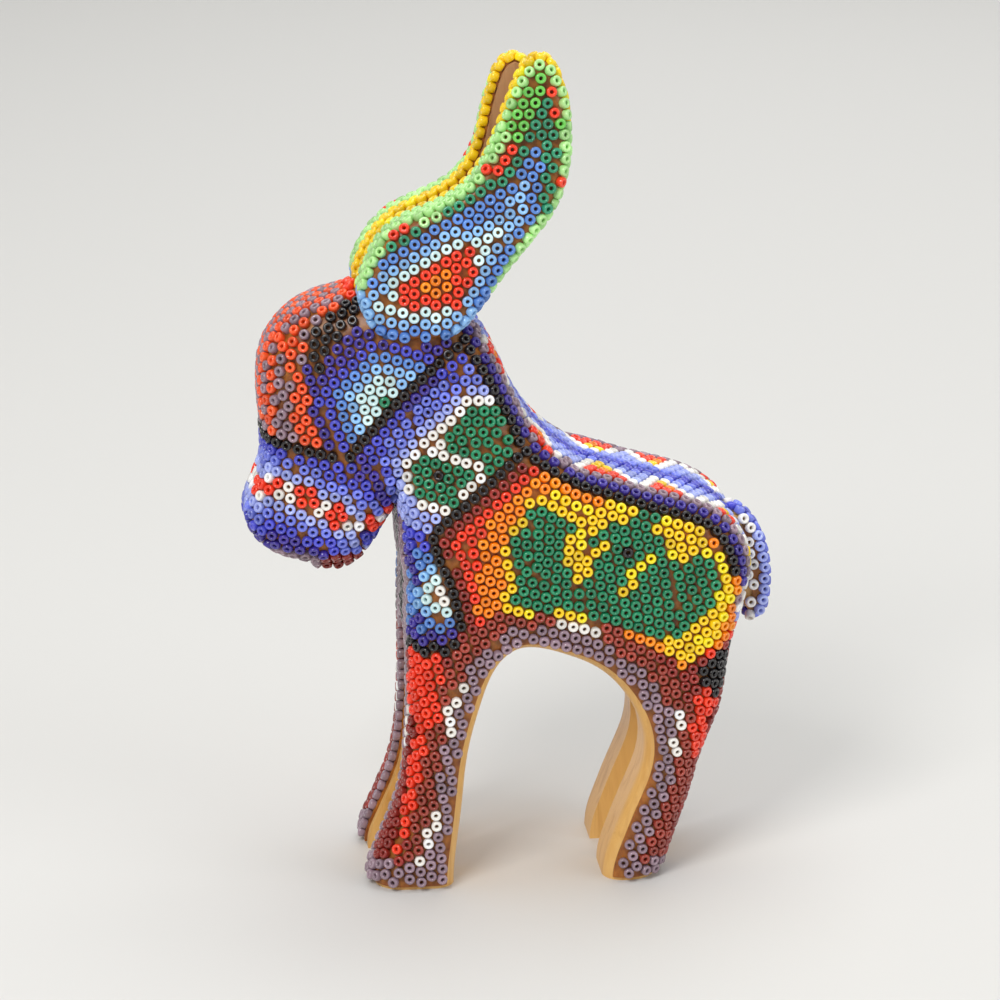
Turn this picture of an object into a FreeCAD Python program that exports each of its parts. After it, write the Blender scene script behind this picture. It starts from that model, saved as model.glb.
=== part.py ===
import FreeCAD, Part
import math
import os

# Beaded donkey figure: carved wood, a thin coat of wax, and glass beads pressed into the wax.
# Frame: millimetres, +Z up, the head towards -X, the figure's left side towards -Y, feet on Z = 0.

Vector = FreeCAD.Vector
doc = FreeCAD.newDocument("BeadedDonkey")

# ---------------------------------------------------------------- driving dimensions

DIMENSIONS = [
    ("body_width", 34.0, "wood, across the flanks"),
    ("back_round", 5.5, "rounding of the back, the rump and the outer leg edges"),
    ("arch_round", 4.0, "rounding of the edges that face the arch under the belly"),
    ("slot_width", 10.0, "gap between the left and right legs"),
    ("slot_top", 48.0, "height of the top of that gap"),
    ("wax_thickness", 0.5, "coat of wax on the wood"),
    ("bare_margin", 1.7, "width of bare wood at the arch edge"),
    ("slot_margin", 2.0, "bare wood beside the gap between the legs"),
    ("sole_margin", 0.7, "bare wood at the bottom of each foot"),
    ("bead_diameter", 2.14, "one bead"),
    ("bead_hole", 0.82, "hole through a bead"),
    ("bead_height", 1.5, "length of a bead along its hole"),
    ("bead_bevel", 0.32, "bevel at both ends of a bead"),
    ("bead_pitch", 2.2, "spacing of neighbouring beads"),
    ("bead_sink", 0.2, "depth that a bead is pressed into the wax"),
    ("ear_inset", 1.6, "wood edge of an ear inside its finished outline"),
    ("ear_gap_half", 1.8, "middle plane to the inner face of an ear"),
    ("ear_base_reach", 13.4, "middle plane to the outer face at the foot of an ear"),
    ("ear_tip_reach", 6.3, "middle plane to the outer face at the tip of an ear"),
    ("ear_base_height", 109.0, "height where the reach at the foot is measured"),
    ("ear_tip_height", 162.0, "height where the reach at the tip is measured"),
    ("ear_round", 1.0, "rounding of the outer edge of an ear"),
    ("ear_bare", 1.2, "bare rim beside the inner face of an ear"),
    ("dowel_radius", 1.5, "dowel that holds an ear"),
    ("dowel_length", 16.0, "its length"),
    ("dowel_offset", 7.2, "middle plane to its axis"),
    ("tail_width", 6.0, "wood of the tail"),
    ("tail_round", 0.5, "rounding of its edges"),
    ("peg_radius", 1.2, "peg that holds the tail"),
    ("peg_length", 9.0, "its length"),
]

sheet = doc.addObject("Spreadsheet::Sheet", "Dimensions")
for row, (alias, value, note) in enumerate(DIMENSIONS, start=1):
    sheet.set("A%d" % row, alias)
    sheet.set("B%d" % row, str(value))
    sheet.set("C%d" % row, note)
    sheet.setAlias("B%d" % row, alias)
doc.recompute()


def dim(alias):
    """A driving dimension, read back from the sheet."""
    return float(sheet.get(alias))


# ---------------------------------------------------------------- outlines of the carving

# Side view of the torso with the outer sides of the legs, from the rear heel over the back
# to the front toe. The neck and the head are lofts of their own.
TORSO = [
    (27.6, 0.0), (28.4, 3.7), (32.4, 16.0), (35.3, 26.1), (38.7, 35.4), (40.2, 45.4),
    (42.4, 54.0), (44.2, 62.0), (43.6, 67.5), (39.0, 72.9), (23.5, 78.4), (16.0, 81.0),
    (8.0, 82.2), (0.0, 81.0), (-9.0, 77.5), (-15.5, 71.5), (-18.8, 63.0), (-19.4, 53.0),
    (-19.4, 43.0), (-19.5, 33.0), (-20.2, 24.0), (-21.5, 17.4), (-23.6, 11.9), (-25.7, 7.2),
    (-27.3, 3.4), (-27.7, 0.0),
]

# Side view of the arch under the belly, from the front heel to the rear toe.
ARCH = [
    (-12.3, 0.0), (-12.1, 4.0), (-11.4, 10.0), (-10.6, 16.6), (-9.8, 24.4), (-8.6, 30.7),
    (-7.1, 36.1), (-5.3, 41.4), (-3.0, 45.4), (0.5, 47.9), (4.8, 47.9), (9.7, 46.4),
    (15.0, 44.0), (18.8, 41.0), (21.8, 37.2), (24.0, 33.0), (25.1, 28.6), (24.8, 23.6),
    (23.2, 18.8), (21.2, 14.0), (19.2, 8.7), (17.5, 3.5), (17.1, 0.0),
]

# Level sections of the head: height, front, back, then the half widths at the front, the
# middle and the back, then the corner radii at the front and the back.
HEAD = [
    (64.2, -37.5, -32.6, 4.2, 4.4, 4.0, 2.0, 2.0),
    (66.2, -41.6, -30.2, 7.0, 7.4, 6.8, 3.2, 3.0),
    (70.0, -48.0, -27.8, 9.0, 9.6, 8.8, 5.0, 4.0),
    (74.6, -50.0, -25.2, 9.6, 10.3, 10.0, 6.0, 4.5),
    (79.0, -48.6, -22.4, 9.6, 10.8, 11.0, 6.5, 5.0),
    (86.0, -46.4, -19.0, 9.8, 11.8, 12.0, 7.0, 5.0),
    (93.0, -46.6, -16.0, 10.2, 12.4, 12.4, 7.5, 5.0),
    (100.0, -47.0, -13.0, 10.4, 12.7, 12.6, 8.0, 5.0),
    (106.0, -46.2, -10.6, 10.2, 12.6, 12.3, 8.0, 5.0),
    (111.0, -43.2, -9.4, 9.6, 11.8, 11.2, 7.5, 5.0),
    (115.0, -37.6, -11.4, 8.2, 10.4, 9.6, 6.5, 5.5),
    (117.4, -30.0, -16.4, 4.4, 6.0, 5.0, 3.0, 3.0),
]

# Level sections of the neck and the shoulders, in the same order.
NECK = [
    (59.0, -18.8, 8.0, 15.4, 16.4, 16.4, 5.0, 5.0),
    (67.0, -19.9, 11.0, 16.2, 17.1, 17.1, 5.5, 5.5),
    (74.0, -20.3, 13.6, 16.0, 17.15, 17.15, 5.5, 6.0),
    (80.0, -21.4, 14.0, 14.8, 16.8, 17.0, 5.0, 6.5),
    (85.5, -22.8, 7.6, 12.4, 15.4, 15.8, 4.5, 6.5),
    (91.0, -23.8, 2.4, 11.6, 14.2, 14.6, 4.5, 6.5),
    (97.0, -23.2, -1.2, 11.2, 13.8, 14.0, 4.5, 6.5),
    (103.0, -21.4, -3.8, 10.6, 13.3, 13.4, 4.5, 6.0),
    (109.0, -18.6, -7.0, 9.6, 11.2, 11.6, 4.0, 5.5),
    (113.0, -16.8, -9.8, 8.0, 8.8, 8.6, 3.0, 3.0),
]

# Finished outlines in side view: the left ear, the right ear (it leans further forward) and
# the tail.
LEFT_EAR = [
    (-27.4, 112.6), (-29.2, 116.0), (-29.6, 119.5), (-28.6, 123.0), (-26.8, 127.0),
    (-24.2, 130.4), (-20.6, 132.9), (-15.5, 134.9), (-9.9, 138.0), (-6.3, 142.0),
    (-4.3, 145.6), (-2.6, 149.6), (-0.8, 154.6), (1.0, 159.0), (2.9, 161.9), (5.4, 163.0),
    (7.9, 161.8), (9.4, 158.8), (10.6, 154.8), (11.1, 150.0), (11.0, 144.0), (9.9, 138.7),
    (8.2, 134.6), (5.8, 131.0), (2.4, 127.0), (-1.0, 123.0), (-4.3, 118.8), (-7.0, 115.2),
    (-10.0, 112.0), (-13.6, 109.7), (-18.0, 109.0), (-23.4, 110.0),
]
RIGHT_EAR = [
    (-27.4, 112.6), (-29.2, 116.0), (-29.6, 119.5), (-28.6, 123.0), (-26.6, 126.6),
    (-24.0, 129.7), (-20.4, 132.3), (-15.5, 134.4), (-10.6, 137.2), (-7.7, 140.6),
    (-6.0, 144.4), (-5.0, 148.6), (-3.9, 153.4), (-2.6, 157.6), (-1.0, 160.4), (1.4, 161.6),
    (3.9, 160.6), (5.8, 157.8), (7.4, 153.6), (8.7, 148.8), (9.3, 143.6), (9.0, 138.6),
    (7.7, 134.5), (5.4, 131.0), (2.2, 127.0), (-1.0, 123.0), (-4.3, 118.8), (-7.0, 115.2),
    (-10.0, 112.0), (-13.6, 109.7), (-18.0, 109.0), (-23.4, 110.0),
]
TAIL = [
    (45.2, 69.6), (47.2, 67.6), (48.6, 65.0), (49.6, 61.4), (50.0, 57.2), (49.8, 53.4),
    (49.1, 50.9), (47.8, 50.1), (46.7, 51.3), (46.2, 55.4), (45.4, 60.0), (43.9, 63.6),
    (42.3, 66.4), (42.0, 68.4), (43.2, 69.9),
]


# ---------------------------------------------------------------- shape helpers

def shifted(points, distance, closed):
    """Outline points moved sideways: to the right of their direction of travel."""
    moved = []
    count = len(points)
    for i, point in enumerate(points):
        before = points[i - 1] if closed or i > 0 else point
        after = points[(i + 1) % count] if closed or i < count - 1 else point
        along = (after[0] - before[0], after[1] - before[1])
        length = math.hypot(along[0], along[1])
        moved.append((point[0] + distance * along[1] / length,
                      point[1] - distance * along[0] / length))
    return moved


def on_floor(points):
    """An open outline with both ends put back on the floor."""
    return [(points[0][0], 0.0)] + points[1:-1] + [(points[-1][0], 0.0)]


def side_curve(points, y, closed=False):
    curve = Part.BSplineCurve()
    curve.interpolate([Vector(x, y, z) for x, z in points], closed)
    return curve.toShape()


def side_line(start, end, y):
    return Part.makeLine(Vector(start[0], y, start[1]), Vector(end[0], y, end[1]))


def torso_block(extra):
    """Torso and legs as one block, every face moved out by extra."""
    torso = on_floor(shifted(TORSO, extra, False))
    arch = on_floor(shifted(ARCH, extra, False))
    half = dim("body_width") / 2.0 + extra
    wire = Part.Wire([side_curve(torso, -half), side_line(torso[-1], arch[0], -half),
                      side_curve(arch, -half), side_line(arch[-1], torso[0], -half)])
    block = Part.Face(wire).extrude(Vector(0, 2.0 * half, 0))
    rim = [edge for edge in block.Edges if edge.Length > 150.0]
    block = block.makeFillet(dim("back_round") + extra, rim)
    rim = []
    for edge in block.Edges:
        box = edge.BoundBox
        if 60.0 < edge.Length < 150.0 and box.YLength < 0.01 and box.XMin > -14.0:
            rim.append(edge)
    return block.makeFillet(dim("arch_round") + extra, rim)


def section(row, extra):
    """One level section of a loft: a rounded shape, wider or narrower along its length."""
    z, front, back, half_front, half_middle, half_back, radius_front, radius_back = row
    front -= extra
    back += extra
    half_front += extra
    half_middle += extra
    half_back += extra
    radius_front += extra
    radius_back += extra
    corner = 1.0 - math.sqrt(0.5)
    half = [
        (front, 0.0),
        (front, half_front - radius_front),
        (front + corner * radius_front, half_front - corner * radius_front),
        (front + radius_front, half_front),
        ((front + radius_front + back - radius_back) / 2.0, half_middle),
        (back - radius_back, half_back),
        (back - corner * radius_back, half_back - corner * radius_back),
        (back, half_back - radius_back),
        (back, 0.0),
    ]
    points = [Vector(x, y, z) for x, y in half]
    points += [Vector(x, -y, z) for x, y in reversed(half[1:-1])]
    curve = Part.BSplineCurve()
    curve.interpolate(points, True)
    return Part.Wire([curve.toShape()])


def slopes(heights, values):
    """Slopes for a smooth curve that never overshoots its values."""
    steps = []
    for i in range(len(heights) - 1):
        steps.append((values[i + 1] - values[i]) / (heights[i + 1] - heights[i]))
    result = [steps[0]]
    for before, after in zip(steps, steps[1:]):
        if before * after <= 0.0:
            result.append(0.0)
        else:
            result.append(2.0 * before * after / (before + after))
    result.append(steps[-1])
    return result


def refined(rows, spacing):
    """The same sections, evenly spaced in height."""
    heights = [row[0] for row in rows]
    columns = list(zip(*rows))[1:]
    tangents = [slopes(heights, column) for column in columns]
    count = int(round((heights[-1] - heights[0]) / spacing))
    result = []
    for k in range(count + 1):
        z = heights[0] + (heights[-1] - heights[0]) * k / count
        i = max(j for j in range(len(heights) - 1) if heights[j] <= z + 1e-9)
        gap = heights[i + 1] - heights[i]
        t = (z - heights[i]) / gap
        row = [z]
        for column, tangent in zip(columns, tangents):
            row.append(column[i] * (1 + 2 * t) * (1 - t) ** 2
                       + tangent[i] * gap * t * (1 - t) ** 2
                       + column[i + 1] * t * t * (3 - 2 * t)
                       + tangent[i + 1] * gap * t * t * (t - 1))
        result.append(tuple(row))
    return result


def loft(rows, extra):
    rows = refined(rows, 3.0)
    rows[0] = (rows[0][0] - extra,) + rows[0][1:]
    rows[-1] = (rows[-1][0] + extra,) + rows[-1][1:]
    return Part.makeLoft([section(row, extra) for row in rows], True, False)


def slot_tool(extra):
    """The gap between the left and right legs, with a round top."""
    half = dim("slot_width") / 2.0 + extra
    centre = dim("slot_top") - dim("slot_width") / 2.0
    tool = Part.makeBox(130, 2.0 * half, centre + 5.0, Vector(-65, -half, -5.0))
    tool = tool.fuse(Part.makeCylinder(half, 130, Vector(-65, 0, centre), Vector(1, 0, 0)))
    return tool.removeSplitter()


def ear_slope(extra):
    """Outer face of an ear: its distance from the middle plane at two heights."""
    rise = dim("ear_tip_height") - dim("ear_base_height")
    return (dim("ear_tip_reach") - dim("ear_base_reach")) / rise, dim("ear_base_reach") + extra


def ear_block(outline, extra):
    """An ear on the +Y side: a flat blade that thins towards the tip."""
    edge = shifted(outline, dim("ear_inset") - extra, True)
    inner = dim("ear_gap_half")
    blade = Part.Face(Part.Wire([side_curve(edge, inner, True)])).extrude(Vector(0, 25, 0))
    slope, base = ear_slope(extra)
    low = base + slope * (90.0 - dim("ear_base_height"))
    high = base + slope * (180.0 - dim("ear_base_height"))
    corners = [Vector(-60, low, 90), Vector(-60, high, 180), Vector(-60, 60, 180),
               Vector(-60, 60, 90), Vector(-60, low, 90)]
    blade = blade.cut(Part.Face(Part.makePolygon(corners)).extrude(Vector(120, 0, 0)))
    rim = [e for e in blade.Edges if e.BoundBox.YMin > inner + 1.0]
    return blade.makeFillet(dim("ear_round") + extra, rim)


def tail_block(extra):
    edge = shifted(TAIL, -extra, True)
    half = dim("tail_width") / 2.0 + extra
    block = Part.Face(Part.Wire([side_curve(edge, -half, True)])).extrude(
        Vector(0, 2.0 * half, 0))
    rim = [e for e in block.Edges if e.BoundBox.YLength < 0.01]
    return block.makeFillet(dim("tail_round"), rim)


def mirrored(shape):
    return shape.mirror(Vector(0, 0, 0), Vector(0, 1, 0))


def feature(name, shape):
    """A document object with a plain shape, placed at the origin of the frame."""
    item = doc.addObject("Part::Feature", name)
    item.Shape = shape
    item.Placement = FreeCAD.Placement()
    item.Label = name
    return item




# ---------------------------------------------------------------- wood and wax

wax = dim("wax_thickness")
carving = torso_block(0.0).fuse([loft(NECK, 0.0), loft(HEAD, 0.0)])
coated = torso_block(wax).fuse([loft(NECK, wax), loft(HEAD, wax)])
left_blade = mirrored(ear_block(LEFT_EAR, 0.0))
right_blade = ear_block(RIGHT_EAR, 0.0)
left_coated = mirrored(ear_block(LEFT_EAR, wax))
right_coated = ear_block(RIGHT_EAR, wax)

# Side view of the space behind the rump, where the tail hangs.
BEHIND_RUMP = [(39.4, 73.5), (44.1, 67.8), (44.7, 62.0), (42.9, 54.0), (41.0, 47.0),
               (60.0, 40.0), (60.0, 80.0), (39.4, 80.0)]
corners = [Vector(x, -20, z) for x, z in BEHIND_RUMP + BEHIND_RUMP[:1]]
behind_rump = Part.Face(Part.makePolygon(corners)).extrude(Vector(0, 40, 0))
tail_wood = tail_block(0.0).common(behind_rump)
tail_coated = tail_block(wax)

# The tail carries wax on its outer half only.
TAIL_WAX = [(45.8, 76.0), (60.0, 76.0), (60.0, 45.0), (48.4, 45.0), (48.1, 51.0),
            (47.9, 55.5), (47.2, 60.5), (46.4, 64.5), (45.8, 68.0)]
corners = [Vector(x, -20, z) for x, z in TAIL_WAX + TAIL_WAX[:1]]
outer_half = Part.Face(Part.makePolygon(corners)).extrude(Vector(0, 40, 0))
tail_shell = tail_coated.common(outer_half).cut(tail_wood)


def dowel(name, axis_y):
    """A dowel that stands upright across the joint between the head and an ear."""
    item = doc.addObject("Part::Cylinder", name)
    item.setExpression("Radius", "Dimensions.dowel_radius")
    item.setExpression("Height", "Dimensions.dowel_length")
    item.Placement = FreeCAD.Placement(Vector(-17.5, axis_y, 102.0), FreeCAD.Rotation())
    item.Label = name
    return item


def peg(name):
    """The peg between the rump and the tail."""
    item = doc.addObject("Part::Cylinder", name)
    item.setExpression("Radius", "Dimensions.peg_radius")
    item.setExpression("Height", "Dimensions.peg_length")
    item.Placement = FreeCAD.Placement(Vector(38.2, 0, 66.2),
                                       FreeCAD.Rotation(Vector(0, 1, 0), 90))
    item.Label = name
    return item


left_hole = dowel("left_dowel_hole", -dim("dowel_offset"))
right_hole = dowel("right_dowel_hole", dim("dowel_offset"))
peg_hole = peg("peg_hole")
doc.recompute()

slot = doc.addObject("Part::Box", "leg_gap_box")
slot.Length = 130.0
slot.setExpression("Width", "Dimensions.slot_width")
slot.setExpression("Height", "Dimensions.slot_top - Dimensions.slot_width / 2 + 5")
slot.setExpression("Placement.Base.y", "-Dimensions.slot_width / 2")
slot.setExpression("Placement.Base.x", "-65")
slot.setExpression("Placement.Base.z", "-5")
slot_round = doc.addObject("Part::Cylinder", "leg_gap_round")
slot_round.setExpression("Radius", "Dimensions.slot_width / 2")
slot_round.Height = 130.0
slot_round.Placement = FreeCAD.Placement(
    Vector(-65, 0, dim("slot_top") - dim("slot_width") / 2.0),
    FreeCAD.Rotation(Vector(0, 1, 0), 90))

carved = feature("carving", carving)
body_wood = doc.addObject("Part::Cut", "body_wood")
tools = doc.addObject("Part::MultiFuse", "body_cuts")
tools.Shapes = [slot, slot_round, feature("left_seat", left_blade),
                feature("right_seat", right_blade), left_hole, right_hole, peg_hole]
body_wood.Base = carved
body_wood.Tool = tools
body_wood.Label = "body_wood"

ear_left = doc.addObject("Part::Cut", "ear_left")
ear_left.Base = feature("left_blank", left_blade)
ear_left.Tool = left_hole
ear_left.Label = "ear_left"
ear_right = doc.addObject("Part::Cut", "ear_right")
ear_right.Base = feature("right_blank", right_blade)
ear_right.Tool = right_hole
ear_right.Label = "ear_right"

tail = feature("tail", tail_block(0.0).cut(peg_hole.Shape).common(behind_rump))
ear_dowel_left = dowel("ear_dowel_left", -dim("dowel_offset"))
ear_dowel_right = dowel("ear_dowel_right", dim("dowel_offset"))
tail_peg = peg("tail_peg")
doc.recompute()


# ---------------------------------------------------------------- wax

def arch_margin():
    """The arch, widened by the strip of bare wood at its edge."""
    edge = on_floor(shifted(ARCH, -dim("bare_margin"), False))
    start = (edge[0][0], -5.0)
    end = (edge[-1][0], -5.0)
    wire = Part.Wire([side_line(start, edge[0], -40.0), side_curve(edge, -40.0),
                      side_line(edge[-1], end, -40.0), side_line(end, start, -40.0)])
    return Part.Face(wire).extrude(Vector(0, 80, 0))


def ear_wax(coated_blade, blade, side):
    """Wax on the outer face and the rim of an ear, above the head."""
    bare = dim("ear_gap_half") + dim("ear_bare")
    start = -30.0 if side > 0 else -bare
    keep_off = Part.makeBox(140, bare + 30.0, 200, Vector(-70, start, 0))
    return coated_blade.cut([blade, carving, keep_off])


sole = Part.makeBox(140, 80, 5.0 + dim("sole_margin"), Vector(-70, -40, -5))
wax_body = feature("wax_body", coated.cut([
    carving, slot_tool(dim("slot_margin")), arch_margin(), sole,
    left_coated, right_coated, tail_coated]))
wax_ear_left = feature("wax_ear_left", ear_wax(left_coated, left_blade, -1))
wax_ear_right = feature("wax_ear_right", ear_wax(right_coated, right_blade, 1))
wax_tail = feature("wax_tail", tail_shell)


# ---------------------------------------------------------------- bed of the beads

PITCH = dim("bead_pitch")
LIFT = dim("bead_height") / 2.0 - dim("bead_sink")
REACH = 1.3


def cell_of(point, size):
    return (int(math.floor(point.x / size)), int(math.floor(point.y / size)),
            int(math.floor(point.z / size)))


def around(cells, point, size):
    """Everything stored in the cells next to a point."""
    i, j, k = cell_of(point, size)
    found = []
    for di in (-1, 0, 1):
        for dj in (-1, 0, 1):
            for dk in (-1, 0, 1):
                found.extend(cells.get((i + di, j + dj, k + dk), ()))
    return found


def distance_to(line, x, z):
    """Distance in side view from a point to a line of points."""
    best = 1e9
    for (ax, az), (bx, bz) in zip(line, line[1:]):
        dx = bx - ax
        dz = bz - az
        t = ((x - ax) * dx + (z - az) * dz) / (dx * dx + dz * dz)
        t = min(1.0, max(0.0, t))
        best = min(best, math.hypot(x - ax - t * dx, z - az - t * dz))
    return best


def within(outline, x, z):
    """True for a point inside a closed outline in side view."""
    inside = False
    for (ax, az), (bx, bz) in zip(outline, outline[1:] + outline[:1]):
        if (az > z) != (bz > z) and x < ax + (bx - ax) * (z - az) / (bz - az):
            inside = not inside
    return inside


def patches(shape, keep):
    """Small pieces of a waxed surface: a point in the bead layer, the normal and the area."""
    points, faces = shape.tessellate(0.12)
    stack = [(points[a], points[b], points[c]) for a, b, c in faces]
    result = []
    while stack:
        a, b, c = stack.pop()
        sides = [(b.sub(a).Length, a, b, c), (c.sub(b).Length, b, c, a),
                 (a.sub(c).Length, c, a, b)]
        length, start, end, third = max(sides, key=lambda side: side[0])
        if length > 0.95:
            middle = (start + end) * 0.5
            stack.append((start, middle, third))
            stack.append((middle, end, third))
            continue
        normal = b.sub(a).cross(c.sub(a))
        area = normal.Length / 2.0
        if area < 1e-6:
            continue
        normal = normal.normalize()
        point = (a + b + c) * (1.0 / 3.0) + normal * LIFT
        if keep(point):
            result.append((point.x, point.y, point.z, normal.x, normal.y, normal.z, area))
    return result


def in_loft(rows, point):
    """True inside a body made of level sections."""
    x, y, z = point
    if not rows[0][0] < z < rows[-1][0]:
        return False
    row = min(rows, key=lambda candidate: abs(candidate[0] - z))
    z, front, back, half_front, half_middle, half_back, radius_front, radius_back = row
    if not front < x < back:
        return False
    middle = (front + radius_front + back - radius_back) / 2.0
    if x < front + radius_front:
        drop = front + radius_front - x
        half = half_front - radius_front + math.sqrt(max(0.0, radius_front ** 2 - drop ** 2))
    elif x < middle:
        t = (x - front - radius_front) / (middle - front - radius_front)
        half = half_front + t * (half_middle - half_front)
    elif x < back - radius_back:
        t = (x - middle) / (back - radius_back - middle)
        half = half_middle + t * (half_back - half_middle)
    else:
        drop = x - back + radius_back
        half = half_back - radius_back + math.sqrt(max(0.0, radius_back ** 2 - drop ** 2))
    return abs(y) < half


def in_ear(point):
    """True inside the blade of an ear."""
    x, y, z = point
    slope, base = ear_slope(wax)
    outer = base + slope * (z - dim("ear_base_height"))
    outline = LEFT_EAR if y < 0 else RIGHT_EAR
    return dim("ear_gap_half") < abs(y) < outer and within(outline, x, z)


def in_tail(point):
    return abs(point.y) < dim("tail_width") / 2.0 + wax and within(TAIL, point.x, point.z)


def keep_body(point):
    if point.z > 106.0:
        return not in_ear(point)
    return point.x < 40.0 or not in_tail(point)


def keep_ear(point):
    return point.z > 119.0 or not (in_loft(HEAD_FINE, point) or in_loft(NECK_FINE, point))


def keep_tail(point):
    return not within(TORSO, point.x, point.z)


HEAD_FINE = refined(HEAD, 1.0)
NECK_FINE = refined(NECK, 1.0)
beds = {}
for name, shape, keep in (("body", coated, keep_body), ("left", left_coated, keep_ear),
                          ("right", right_coated, keep_ear), ("tail", tail_coated, keep_tail)):
    cells = {}
    for patch in patches(shape, keep):
        cells.setdefault(cell_of(Vector(*patch[:3]), REACH), []).append(patch)
    beds[name] = cells


def settled(bed, point):
    """The nearest place in the bead layer and the direction away from the wax, or None."""
    px, py, pz = point
    total = 0.0
    ax = ay = az = nx = ny = nz = 0.0
    for x, y, z, ux, uy, uz, area in around(beds[bed], point, REACH):
        gap = ((x - px) ** 2 + (y - py) ** 2 + (z - pz) ** 2) / REACH ** 2
        if gap >= 1.0:
            continue
        weight = area * (1.0 - gap) ** 2
        total += weight
        ax += x * weight
        ay += y * weight
        az += z * weight
        nx += ux * weight
        ny += uy * weight
        nz += uz * weight
    if total < 0.05:
        return None
    normal = Vector(nx, ny, nz)
    if normal.Length < 0.5 * total:
        return None
    normal = normal.normalize()
    middle = Vector(ax, ay, az) * (1.0 / total)
    return point - normal * (point - middle).dot(normal), normal


# ---------------------------------------------------------------- laying the beads

class Bead:
    """One bead: its centre, its axis, the part it sits on and the guide line it grew from."""

    def __init__(self, centre, axis, bed, guide, row):
        self.centre = centre
        self.axis = axis
        self.bed = bed
        self.guide = guide
        self.row = row


beads = []
bead_cells = {}


def clear(point, limit):
    return all((beads[i].centre - point).Length >= limit
               for i in around(bead_cells, point, PITCH))


def add_bead(centre, axis, bed, guide, row):
    bead_cells.setdefault(cell_of(centre, PITCH), []).append(len(beads))
    beads.append(Bead(centre, axis, bed, guide, row))


ARCH_AREA = [(ARCH[0][0], -5.0)] + ARCH + [(ARCH[-1][0], -5.0)]


def allowed(point, bed):
    """Where beads may sit; the rest of the wood stays bare."""
    x, y, z = point
    across = abs(y)
    if bed in ("left", "right"):
        outline = LEFT_EAR if bed == "left" else RIGHT_EAR
        if across < dim("ear_gap_half") + 1.4 or z < 111.0:
            return False
        if z > 119.0:
            return True
        return clear_of("body", point, 0.85)
    if bed == "tail":
        return not within(TAIL_BARE, x, z) and clear_of("body", point, 0.85)
    if z < 1.9:
        return False
    if z < 55.0 and (within(ARCH_AREA, x, z) or distance_to(ARCH, x, z) < 2.85):
        return False
    if z < 60.0 and math.hypot(y, max(0.0, z - 43.0)) < 7.6:
        return False
    if z > 105.0 and across < 3.6 and within(CROWN, x, z):
        return False
    if z > 105.0:
        ear = "left" if y < 0 else "right"
        return clear_of(ear, point, 0.85)
    if x > 38.0 and z > 52.0:
        return clear_of("tail", point, 0.85)
    return True


def clear_of(bed, point, limit):
    px, py, pz = point
    for x, y, z, ux, uy, uz, area in around(beds[bed], point, REACH):
        if (x - px) ** 2 + (y - py) ** 2 + (z - pz) ** 2 < limit ** 2:
            return False
    return True


CROWN = [(-27.0, 100.0), (-27.0, 125.0), (-9.0, 125.0), (-5.0, 105.0)]
TAIL_BARE = [(40.0, 45.0), (46.9, 45.0), (47.6, 50.5), (47.4, 55.4), (46.4, 60.6),
             (45.0, 64.6), (44.2, 67.0), (40.0, 72.0)]


def lay_line(points, bed, guide):
    """A row of beads along a guide line, side by side."""
    last = None
    for start, end in zip(points, points[1:]):
        steps = max(1, int((end - start).Length / 0.12))
        for k in range(steps):
            found = settled(bed, start + (end - start) * (k / float(steps)))
            if found is None:
                continue
            centre, axis = found
            if last is not None and (centre - last).Length < PITCH:
                continue
            if allowed(centre, bed) and clear(centre, 0.97 * PITCH):
                add_bead(centre, axis, bed, guide, 0)
                last = centre


def grow(first, widest):
    """Fill outwards from the beads that are there: every new bead touches two others."""
    queue = list(range(first, len(beads)))
    head = 0
    while head < len(queue):
        a = beads[queue[head]]
        head += 1
        for j in near_beads(a.centre, widest):
            b = beads[j]
            if b is a or b.bed != a.bed:
                continue
            along = b.centre - a.centre
            half = along.Length / 2.0
            if half < 0.1:
                continue
            middle = (a.centre + b.centre) * 0.5
            rise = math.sqrt(max(0.0, PITCH ** 2 - half ** 2))
            across = (a.axis + b.axis).cross(along).normalize()
            for sign in (1.0, -1.0):
                spot = middle + across * (sign * rise)
                if not clear(spot, 0.8 * PITCH):
                    continue
                found = settled(a.bed, spot)
                if found is None:
                    continue
                lean = found[0] - middle
                lean = lean - along * (lean.dot(along) / (4.0 * half * half))
                found = settled(a.bed, middle + lean.normalize() * rise)
                if found is None or not clear(found[0], 0.965 * PITCH):
                    continue
                if not allowed(found[0], a.bed):
                    continue
                parent = a if a.row <= b.row else b
                add_bead(found[0], found[1], a.bed, parent.guide, parent.row + 1)
                queue.append(len(beads) - 1)


def near_beads(point, limit):
    """Indices of the beads within a distance of up to two pitches."""
    i, j, k = cell_of(point, PITCH)
    found = []
    for di in range(-2, 3):
        for dj in range(-2, 3):
            for dk in range(-2, 3):
                for index in bead_cells.get((i + di, j + dj, k + dk), ()):
                    if (beads[index].centre - point).Length < limit:
                        found.append(index)
    return found


def relax(rounds):
    """Even out the gaps where two fronts meet: beads push their neighbours apart."""
    for _ in range(rounds):
        places = []
        for index, bead in enumerate(beads):
            push = Vector(0, 0, 0)
            if bead.row > 0:
                for j in near_beads(bead.centre, 1.1 * PITCH):
                    gap = bead.centre - beads[j].centre
                    if j != index:
                        push += gap * (0.4 * (1.1 * PITCH - gap.Length) / gap.Length)
            found = settled(bead.bed, bead.centre + push) if push.Length > 0.01 else None
            if found is None or not allowed(found[0], bead.bed):
                found = (bead.centre, bead.axis)
            places.append(found)
        bead_cells.clear()
        for index, (bead, (centre, axis)) in enumerate(zip(beads, places)):
            bead.centre = centre
            bead.axis = axis
            bead_cells.setdefault(cell_of(centre, PITCH), []).append(index)


def both_sides(points):
    near = [Vector(x, -y, z) for x, y, z in points]
    far = [Vector(x, y, z) for x, y, z in points]
    return near, far


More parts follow.
